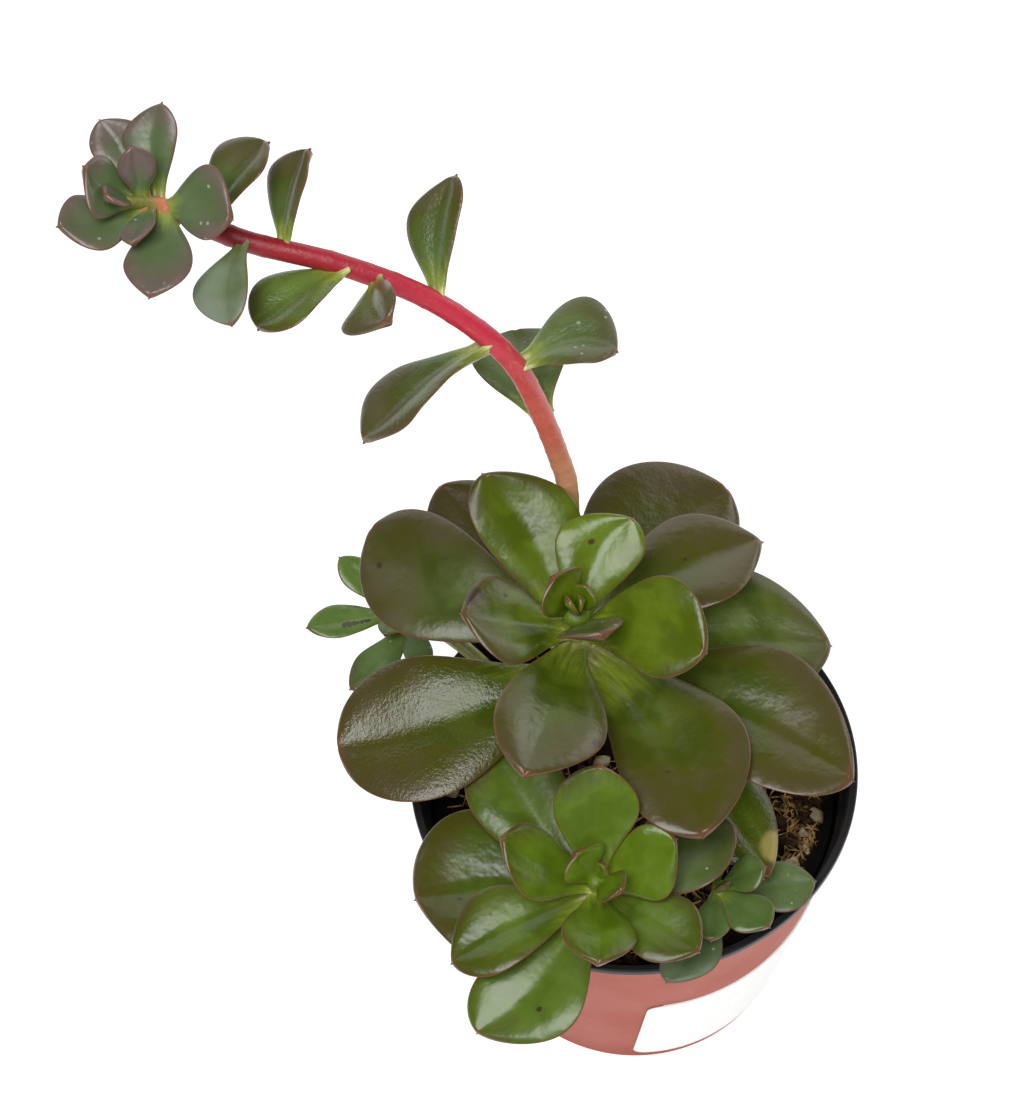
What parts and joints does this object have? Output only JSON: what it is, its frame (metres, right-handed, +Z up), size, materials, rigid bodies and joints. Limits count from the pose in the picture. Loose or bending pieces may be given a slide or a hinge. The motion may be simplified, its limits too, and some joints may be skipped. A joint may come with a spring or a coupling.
{
  "type": "potted echeveria",
  "caption": "Leggy rosette succulent in a tapered nursery pot, with smaller rosettes at its foot and a long leafy stalk that leans out to one side and ends in a rosette.",
  "frame": {"origin": "centre of the pot's underside, on the surface it stands on", "axes": "+Z up along the pot's axis; -Y is the side the picture is taken from, with the label at its right; the leafy stalk leans to -X"},
  "size_m": [0.1666, 0.144, 0.2395],
  "materials": {
    "pot_plastic": "satin",
    "label_paper": "matte",
    "potting_mix": "matte",
    "dark_leaf": "satin",
    "bright_leaf": "satin",
    "stalk_leaf": "satin"
  },
  "bodies": {
    "root": {"pot": "pot_plastic", "pot_label": "label_paper", "soil": "potting_mix", "main_rosette": "dark_leaf", "front_rosette": "bright_leaf", "right_offset": "bright_leaf", "left_offset": "bright_leaf", "leafy_stalk": "stalk_leaf", "stalk_rosette": "bright_leaf"}
  },
  "joints": []
}
